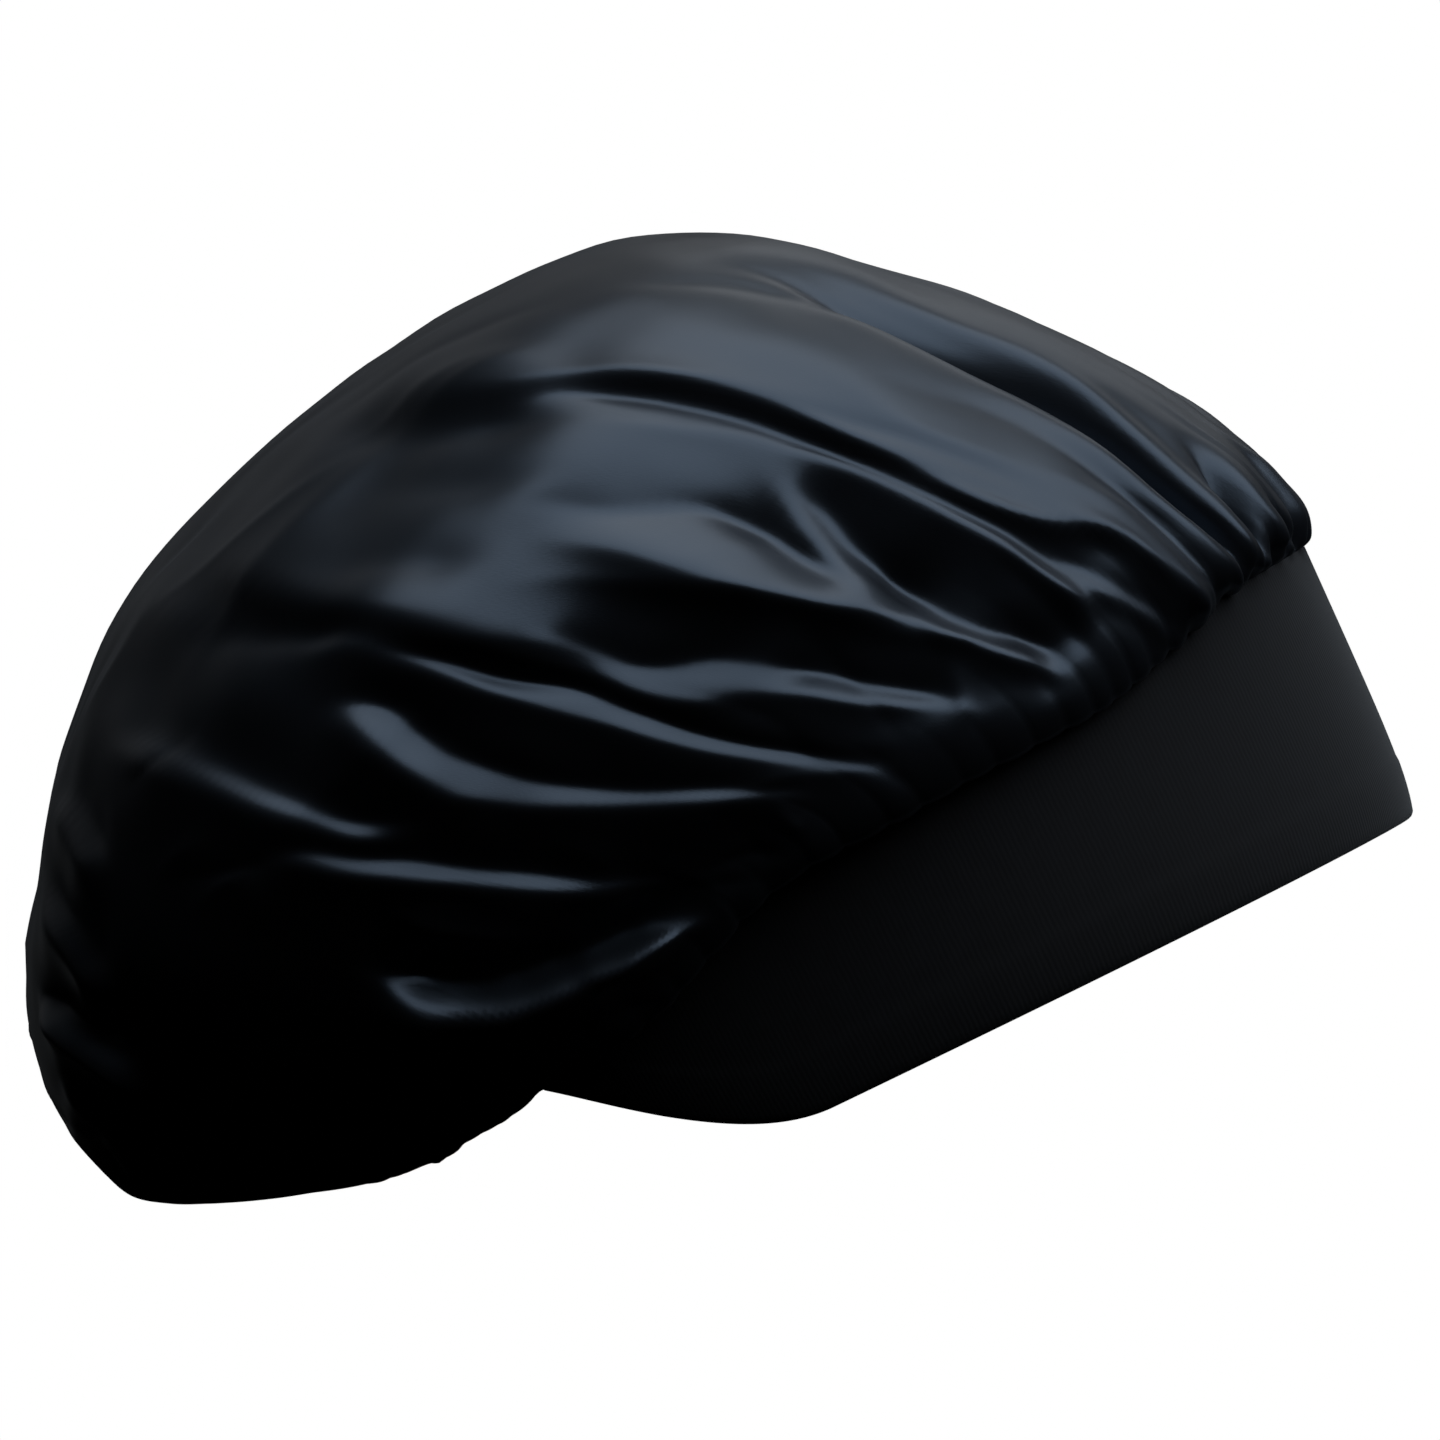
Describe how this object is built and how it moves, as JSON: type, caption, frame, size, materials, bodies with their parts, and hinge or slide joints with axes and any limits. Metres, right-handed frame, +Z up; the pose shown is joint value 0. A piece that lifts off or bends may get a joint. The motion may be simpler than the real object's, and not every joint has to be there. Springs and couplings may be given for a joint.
{
  "type": "hair bonnet",
  "caption": "Satin sleeping bonnet in its worn form: a full gathered bag that droops behind, on a wide plain stretch band across the forehead and over the ears.",
  "frame": {"origin": "middle of the head opening, in the sloping plane of the band's lower edge", "axes": "the wearer faces -Y, the wearer's left is +X, +Z is up and the bag droops towards +Y"},
  "size_m": [0.2131, 0.2774, 0.1941],
  "materials": {
    "satin": "glossy black satin weave",
    "jersey": "matt black stretch jersey"
  },
  "bodies": {
    "root": {"crown": "satin", "front_band": "jersey"}
  },
  "joints": []
}
